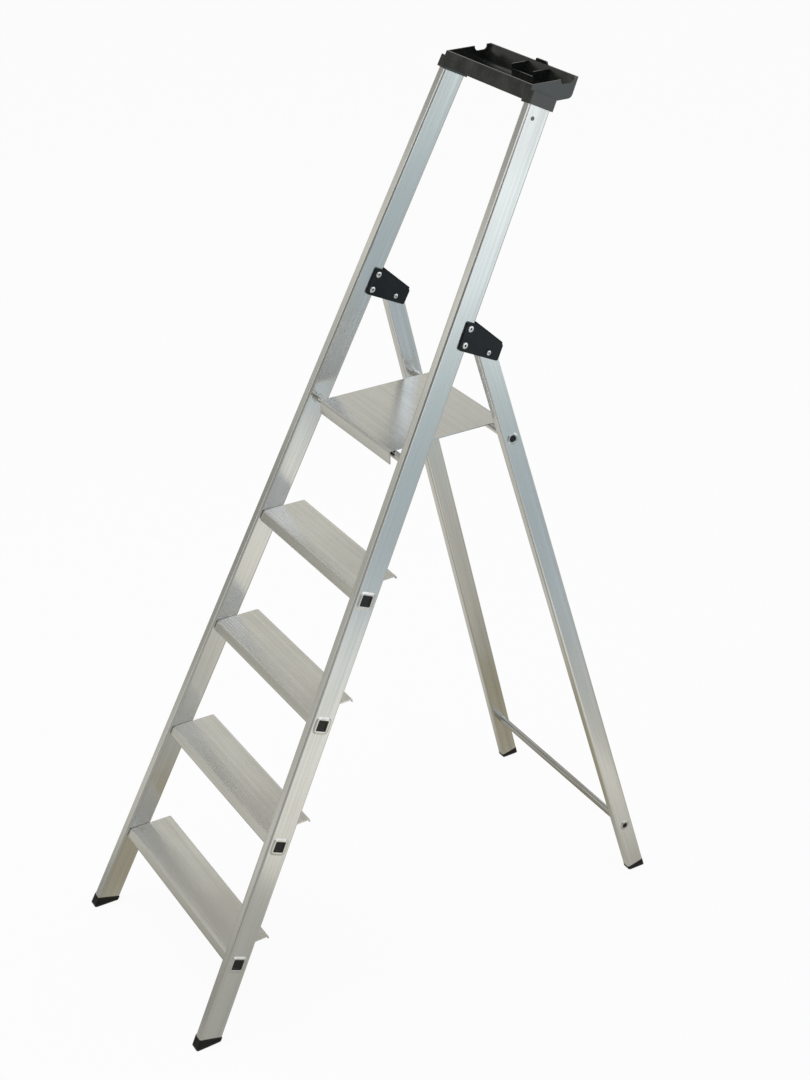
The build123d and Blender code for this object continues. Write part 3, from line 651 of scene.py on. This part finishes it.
# Camera
# Stands to the right of the climbing side, above the tray, and looks down on the ladder.
photo_width = 810
photo_height = 1080
focal_pixels = 1899.8
sensor_size = 36.0
eye = Vector((2.97755, -1.65107, 2.76787))
view_direction = Vector((-0.75432, 0.44434, -0.48328))
camera_roll = radians(-0.8475)
camera_data = bpy.data.cameras.new("camera")
camera_data.sensor_width = sensor_size
camera_data.lens = sensor_size * focal_pixels / max(photo_width, photo_height)
camera = bpy.data.objects.new("camera", camera_data)
camera.location = eye
camera.rotation_mode = "QUATERNION"
camera.rotation_quaternion = view_direction.to_track_quat("-Z", "Y") @ Quaternion((0, 0, 1), camera_roll)
bpy.context.scene.collection.objects.link(camera)
bpy.context.scene.camera = camera


# Surround
# White to the eye and in shiny surfaces, and a dimmer sky for the light that falls on the ladder.
white = (1, 1, 1, 1)
sky_tint = (0.96, 0.98, 1.0, 1)
sky_strength = 0.55


def seen_directly(tree):
    """One where a surface is seen by the camera or in a shiny or clear surface, else nothing."""
    path = add_node(tree, "LightPath", {}).outputs
    either = summed(tree, path["Is Camera Ray"], path["Is Glossy Ray"])
    return summed(tree, either, path["Is Transmission Ray"])


world = bpy.data.worlds.new("studio")
bpy.context.scene.world = world
world.use_nodes = True
tree = world.node_tree
sky = add_node(tree, "Background", {"Color": sky_tint, "Strength": sky_strength})
backdrop = add_node(tree, "Background", {"Color": white, "Strength": 1.0})
mixed = add_node(tree, "MixShader", {0: seen_directly(tree), 1: sky.outputs[0], 2: backdrop.outputs[0]})
tree.links.new(mixed.outputs[0], tree.nodes["World Output"].inputs["Surface"])


# Floor
# Wide pale sheet that glows white to the camera but keeps the ladder's shadow.
floor_width = 60
floor_pale = (0.95, 0.95, 0.95, 1)
floor_glow = 0.93


def blank_finish(name):
    """New node material with an empty tree."""
    finish = bpy.data.materials.new(name)
    finish.use_nodes = True
    finish.node_tree.nodes.clear()
    return finish, finish.node_tree


def studio_sheet(name, finish, centre, facing, width, height):
    """Flat sheet that belongs to the studio, not to the ladder, and faces a direction."""
    sheet = bmesh.new()
    bmesh.ops.create_grid(sheet, x_segments=1, y_segments=1, size=0.5)
    bmesh.ops.scale(sheet, vec=(width, height, 1), verts=sheet.verts)
    turn = Vector(facing).to_track_quat("Z", "Y").to_matrix().to_4x4()
    bmesh.ops.transform(sheet, matrix=Matrix.Translation(centre) @ turn, verts=sheet.verts)
    mesh = bpy.data.meshes.new(name)
    sheet.to_mesh(mesh)
    sheet.free()
    mesh.materials.append(finish)
    board = bpy.data.objects.new(name, mesh)
    bpy.context.scene.collection.objects.link(board)
    return board


paper, tree = blank_finish("floor_paper")
inputs = {0: seen_directly(tree), 1: floor_glow}
share = add_node(tree, "Math", inputs, operation="MULTIPLY").outputs["Value"]
matt = add_node(tree, "BsdfDiffuse", {"Color": floor_pale})
glow = add_node(tree, "Emission", {"Color": white, "Strength": 1.0})
mixed = add_node(tree, "MixShader", {0: share, 1: matt.outputs[0], 2: glow.outputs[0]})
add_node(tree, "OutputMaterial", {"Surface": mixed.outputs[0]})
studio_sheet("floor", paper, centre=(0, 0, 0), facing=(0, 0, 1), width=floor_width, height=floor_width)


# Lamps
# Two large soft boxes, one behind to the right and one overhead.
lamp_aim = Vector((0, 0, 1.0))


def soft_box(name, place, size, power, tint):
    """Square lamp at a place, turned to the middle of the ladder."""
    light = bpy.data.lights.new(name, "AREA")
    light.shape = "SQUARE"
    light.size = size
    light.energy = power
    light.color = tint
    box = bpy.data.objects.new(name, light)
    box.location = place
    box.rotation_mode = "QUATERNION"
    box.rotation_quaternion = (lamp_aim - Vector(place)).to_track_quat("-Z", "Y")
    bpy.context.scene.collection.objects.link(box)


soft_box("back_box", place=(3.6, 2.1, 2.2), size=1.7, power=3.5, tint=(0.72, 0.90, 1.0))
soft_box("top_box", place=(-0.8, -0.6, 4.8), size=3.0, power=60, tint=(1.0, 1.0, 1.0))


# Reflection cards
# Plain sheets around the ladder, seen only in its shiny surfaces, for the tones of a room. Each has
# its tones at places along an axis, in metres.
to_right = (1, 0, 0)
to_left = (-1, 0, 0)
to_ladder = (-0.59, 0.81, 0)
up = (0, 0, 1)


def card(name, tones, axis, centre, facing, width, height):
    """Sheet that is seen only in shiny surfaces, with tones at places along an axis."""
    paint, tree = blank_finish(name)
    place = add_node(tree, "TexCoord", {}).outputs["Object"]
    along = add_node(tree, "SeparateXYZ", {"Vector": place}).outputs[axis]
    start = tones[0][0]
    end = tones[-1][0]
    ramp = add_node(tree, "ValToRGB", {"Fac": spread(tree, along, 0.0, 1.0, start, end)})
    while len(ramp.color_ramp.elements) < len(tones):
        ramp.color_ramp.elements.new(0.5)
    for element, (spot, tone) in zip(ramp.color_ramp.elements, tones):
        element.position = (spot - start) / (end - start)
        element.color = (*tone, 1)
    light = add_node(tree, "Emission", {"Color": ramp.outputs["Color"], "Strength": 1.0})
    add_node(tree, "OutputMaterial", {"Surface": light.outputs[0]})
    board = studio_sheet(name, paint, centre, facing, width, height)
    board.visible_camera = False
    board.visible_diffuse = False
    board.visible_shadow = False


wall_tones = [
    (0.0, (0.43, 0.43, 0.38)),
    (1.7, (0.50, 0.505, 0.455)),
    (2.1, (0.76, 0.75, 0.68)),
    (2.6, (0.68, 0.675, 0.61)),
    (3.4, (0.62, 0.615, 0.555)),
    (4.0, (0.34, 0.34, 0.32)),
    (5.0, (0.30, 0.30, 0.29)),
]
card("left_wall", wall_tones, "Z", centre=(-3.4, -0.5, 2.5), facing=to_right, width=10.0, height=5.4)
flag_tones = [
    (0.0, (0.36, 0.355, 0.32)),
    (1.2, (0.34, 0.335, 0.30)),
    (1.8, (0.16, 0.16, 0.15)),
    (2.6, (0.18, 0.18, 0.17)),
]
card("camera_flag", flag_tones, "Z", centre=(1.2, -1.45, 1.15), facing=to_ladder, width=5.9, height=2.9)
dark_tones = [(0.0, (0.14, 0.14, 0.13)), (2.4, (0.19, 0.19, 0.18))]
card("back_corner", dark_tones, "Z", centre=(-3.3, 3.6, 0.8), facing=to_right, width=1.8, height=1.8)
card("front_post", dark_tones, "Z", centre=(-3.3, -2.1, 0.5), facing=to_right, width=1.0, height=1.4)
card("front_blind", dark_tones, "Z", centre=(-3.3, -2.0, 2.9), facing=to_right, width=1.4, height=0.9)
front_tones = [(0.10, (0.37, 0.37, 0.335)), (0.60, (0.43, 0.43, 0.39)), (2.60, (0.50, 0.55, 0.56))]
card("right_front_floor", front_tones, "X", centre=(1.35, -1.075, 0.004), facing=up, width=2.5, height=1.85)
middle_tones = [
    (0.10, (0.36, 0.35, 0.30)),
    (0.45, (0.56, 0.55, 0.49)),
    (0.80, (0.76, 0.74, 0.66)),
    (1.30, (0.85, 0.85, 0.79)),
    (1.75, (0.74, 0.78, 0.77)),
    (2.05, (0.52, 0.60, 0.63)),
    (2.60, (0.43, 0.50, 0.52)),
]
card("right_middle_floor", middle_tones, "X", centre=(1.35, 0.315, 0.004), facing=up, width=2.5, height=0.93)
back_tones = [
    (0.10, (0.41, 0.39, 0.32)),
    (1.00, (0.50, 0.505, 0.475)),
    (1.75, (0.43, 0.50, 0.54)),
    (3.20, (0.34, 0.42, 0.44)),
    (4.40, (0.95, 1.06, 1.08)),
    (5.30, (1.22, 1.29, 1.29)),
    (6.60, (0.90, 1.00, 1.00)),
]
card("right_back_floor", back_tones, "X", centre=(4.15, 3.39, 0.004), facing=up, width=8.1, height=5.22)
high_tones = [(3.0, (0.44, 0.49, 0.51)), (6.6, (0.48, 0.52, 0.54))]
card("back_blind", high_tones, "Z", centre=(3.9, 2.5, 4.8), facing=to_left, width=6.4, height=3.6)
brown_tones = [
    (-6.0, (0.60, 0.59, 0.54)),
    (-0.5, (0.58, 0.57, 0.52)),
    (-0.2, (0.34, 0.315, 0.24)),
    (0.1, (0.335, 0.31, 0.22)),
]
card("left_back_floor", brown_tones, "X", centre=(-2.95, 1.72, 0.004), facing=up, width=6.1, height=4.54)
pale_tones = [
    (-6.0, (0.58, 0.575, 0.52)),
    (-1.3, (0.62, 0.61, 0.55)),
    (-0.8, (0.46, 0.45, 0.40)),
    (-0.5, (0.34, 0.34, 0.30)),
    (0.1, (0.30, 0.30, 0.27)),
]
card("left_front_floor", pale_tones, "X", centre=(-2.95, -2.78, 0.004), facing=up, width=6.1, height=4.46)


bpy.context.scene.view_settings.view_transform = "Standard"
